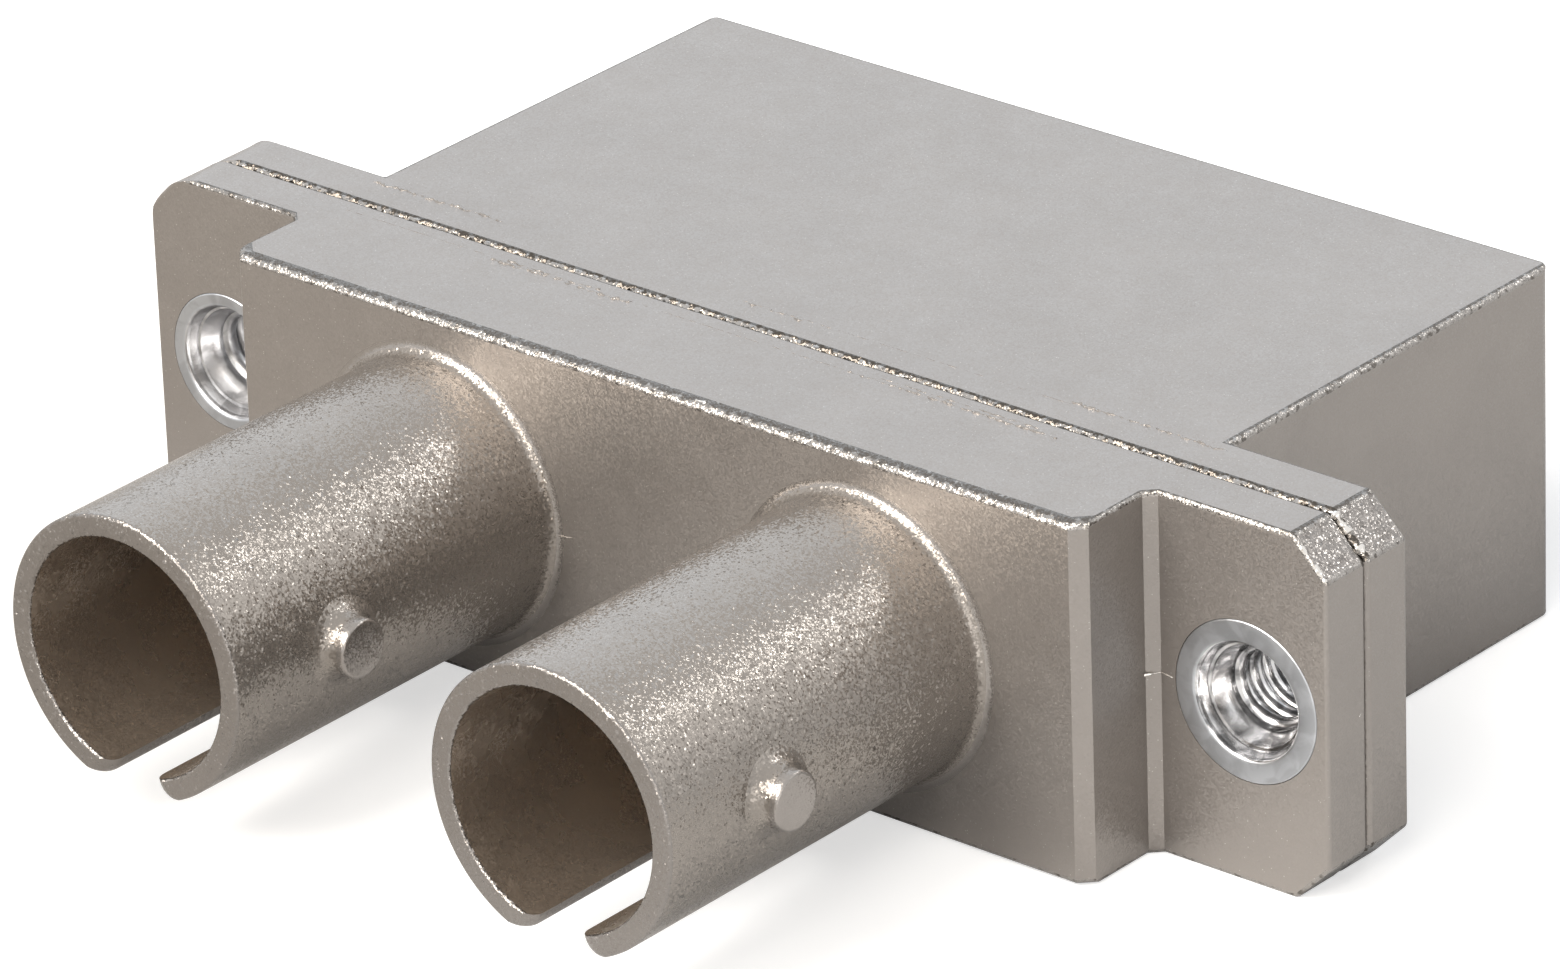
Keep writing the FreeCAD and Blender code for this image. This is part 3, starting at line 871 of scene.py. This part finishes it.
ear_back = 1.5
shell_end = 13.62
port_half_width = 4.5
port_half_height = 3.7
lead_in = 0.35
seat_end = 1.44
key_start = 5.12
flex_end = 9.59
beyond = 14.6
rear = casting_body("rear_body", seam_half_gap, ear_back, 0, 0, shell_end, rear_rounding)


def box_section(x, half_width, half_height, corner=0.0):
    if not corner:
        return [(x - half_width, -half_height), (x + half_width, -half_height),
                (x + half_width, half_height), (x - half_width, half_height)]
    points = []
    for sx, sz, start in ((1, 1, 0), (-1, 1, 90), (-1, -1, 180), (1, -1, 270)):
        centre = (x + sx * (half_width - corner), sz * (half_height - corner))
        points += arc(*centre, corner, start, start + 90, 5)
    return points


# per channel: the port, room for the latch's arms to bend, the seat of its plate, the groove
# for a plug's key, and the lead-in
tools = []
for x in channels:
    port = box_section(x, port_half_width, port_half_height)
    tools.append(prism("port", port, -1, beyond, 1))
    tools.append(prism("flex", box_section(x, 5.15, 1.9), -1, flex_end, 1))
    tools.append(prism("seat", box_section(x, 5.49, 3.84, 0.64), -1, seat_end, 1))
    tools.append(prism("key", [(x - 1.15, -4.1), (x + 1.15, -4.1), (x + 1.15, 0), (x - 1.15, 0)],
                       key_start, beyond, 1))
    wide = box_section(x, port_half_width + lead_in + 0.02, port_half_height + lead_in + 0.02)
    tools.append(loft("lead_in", [(shell_end - lead_in, port), (shell_end + 0.02, wide)], 1,
                      cast_glint))
tools += [prism("hole", circle((x, 0), 1.995), -1, 3, 1) for x in screws]
cut_away(rear, tools)
rear_flash = flash_lines([(-12.6, -8.6, 1.12, 0.040, 0.3), (-1.1, 0.7, 0.98, 0.045, 0.4),
                          (0.7, 8.5, 1.02, 0.013, 0.06), (8.5, 12.9, 1.12, 0.042, 0.3)])
rear_casting = joined("rear_casting", [rear] + rear_flash)
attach(rear_casting, "root")
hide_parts("rear_housing")

# Screw bushes
# Turned brass bushes with bright nickel plate, clinched over at both ends. Each has a polished
# flare at the front and a fine thread behind it. The left one was clinched with a narrower rim.
def turned_metal(name, colour, painted_reflection_dark, roughness):
    """Bright plated metal with painted reflections, dark and light patches in its colour, and a
    fine grain.
    """
    finish = Finish(name, 1)
    reflection_noise = finish.texture("Noise", 1700, 4)
    reflection_noise.inputs["Distortion"].default_value = 0.6
    painted_reflection = finish.spread(reflection_noise.outputs["Fac"], 0.42, 0.58, 0, 1)
    finish.into("Base Color", finish.blend(painted_reflection, painted_reflection_dark, colour))
    grain = finish.texture("Noise", 9000, 3).outputs["Fac"]
    finish.into("Roughness", finish.spread(grain, 0, 1, roughness - 0.03, roughness + 0.03))
    finish.into("Normal", finish.bump(grain, 0.2, 0.00001))
    return finish.material


bush_rim = turned_metal("bush_rim", (0.55, 0.57, 0.60), (0.45, 0.465, 0.49), 0.36)
bush_dull = turned_metal("bush_dull", (0.66, 0.665, 0.68), (0.36, 0.36, 0.37), 0.34)
bush_bright = turned_metal("bush_bright", (0.72, 0.72, 0.73), (0.20, 0.20, 0.205), 0.19)


def thread_nodes():
    """Node group: a round ridge wound along Y as a helix, for the inside of a tapped bore."""
    group, given = node_group("thread", {"Turns": "Float", "Radius": "Float", "Length": "Float",
                                         "Ridge": "Float", "Start": "Vector"})
    nodes = group.nodes
    links = group.links
    helix = nodes.new("GeometryNodeCurveSpiral")
    helix.inputs["Resolution"].default_value = 72
    links.new(given.outputs["Turns"], helix.inputs["Rotations"])
    links.new(given.outputs["Radius"], helix.inputs["Start Radius"])
    links.new(given.outputs["Radius"], helix.inputs["End Radius"])
    links.new(given.outputs["Length"], helix.inputs["Height"])
    ridge = nodes.new("GeometryNodeCurvePrimitiveCircle")
    ridge.inputs["Resolution"].default_value = 16
    links.new(given.outputs["Ridge"], ridge.inputs["Radius"])
    wound = nodes.new("GeometryNodeCurveToMesh")
    wound.inputs["Fill Caps"].default_value = True
    links.new(helix.outputs["Curve"], wound.inputs["Curve"])
    links.new(ridge.outputs["Curve"], wound.inputs["Profile Curve"])
    laid = nodes.new("GeometryNodeTransform")
    laid.inputs["Rotation"].default_value = (math.radians(-90), 0, 0)
    links.new(wound.outputs["Mesh"], laid.inputs["Geometry"])
    links.new(given.outputs["Start"], laid.inputs["Translation"])
    return end_group(group, given, laid.outputs["Geometry"])


thread = thread_nodes()
shank_radius = 1.6
for side_name, x, rim, inside in (("left", screws[0], 1.75, bush_dull),
                                  ("right", screws[1], 1.97, bush_bright)):
    # the rolled lip and the rim in front, the shank, the rim behind, the bore and the flare
    bush_outline = [(1.31, -1.16), (1.39, -1.28)]
    bush_outline += arc(1.52, -1.31, 0.12, 180, 270, 5)
    bush_outline += arc(rim - 0.045, -1.395, 0.045, -90, 0, 6)
    bush_outline += [(rim, -1.0), (shank_radius, -1.0), (shank_radius, 1.1), (1.97, 1.1)]
    bush_outline += arc(1.92, 1.45, 0.05, 0, 90, 3)
    bush_outline += [(1.16, 1.5), (1.02, 1.36), (1.0, 1.3), (1.0, 0.4), (1.0, -0.58),
                     (1.02, -0.66), (1.10, -0.78), (1.22, -1.0), (1.24, -1.06), (1.30, -1.08)]
    outline = profile_curve("bush_outline", bush_outline)
    bush = run_group("bush_turned", turned_row, {"Outline": outline, "Steps": 128, "Count": 1,
                                                 "First": (x, 0, 0), "Finish": inside})
    bpy.data.objects.remove(outline)
    ridge = run_group("ridge", thread, {"Turns": 4.0, "Radius": 1.08, "Length": 1.88,
                                        "Ridge": 0.23, "Start": (x, -0.55, 0),
                                        "Finish": inside})
    bush.data.materials.append(bush_rim)
    # the rim's finish starts halfway over the rolled lip
    for polygon in bush.data.polygons:
        if math.hypot(polygon.center.x - x, polygon.center.z) > 1.46:
            polygon.material_index = 1
    piece = joined("screw_bush_" + side_name, [bush, ridge])
    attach(piece, "root")
    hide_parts("threaded_bush_" + side_name)

# Alignment sleeves
# Split sleeves ground from white zirconia, one in each channel, loose in their seats. The CAD
# shapes stay, with a smooth ceramic finish.
def redress(node_name, finish):
    """A better finish on a CAD node, whose shape stays as it is."""
    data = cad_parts[node_name].data
    data.materials.clear()
    data.materials.append(finish.material)


ceramic = Finish("ceramic")
ceramic.shader.inputs["IOR"].default_value = 1.9
clouds = ceramic.texture("Noise", 1500, 4).outputs["Fac"]
ceramic.into("Base Color", ceramic.blend(clouds, (0.80, 0.79, 0.74), (0.86, 0.85, 0.81)))
ceramic.into("Roughness", ceramic.spread(clouds, 0, 1, 0.14, 0.24))
for node_name in ("alignment_sleeve_left", "alignment_sleeve_right"):
    redress(node_name, ceramic)

# Latches
# Each is one moulding of beige engineering plastic: plate, two hooked arms and the tube round
# the sleeve. It sits between the castings, and only its arms show in the square ports.
moulded = Finish("moulded")
flow = moulded.texture("Noise", 700, 5).outputs["Fac"]
moulded.into("Base Color", moulded.blend(flow, (0.60, 0.56, 0.46), (0.68, 0.64, 0.54)))
moulded.into("Roughness", moulded.spread(flow, 0, 1, 0.40, 0.55))
moulded.into("Normal", moulded.bump(flow, 0.25, 0.00002))
for node_name in ("sc_latch_left", "sc_latch_right"):
    redress(node_name, moulded)
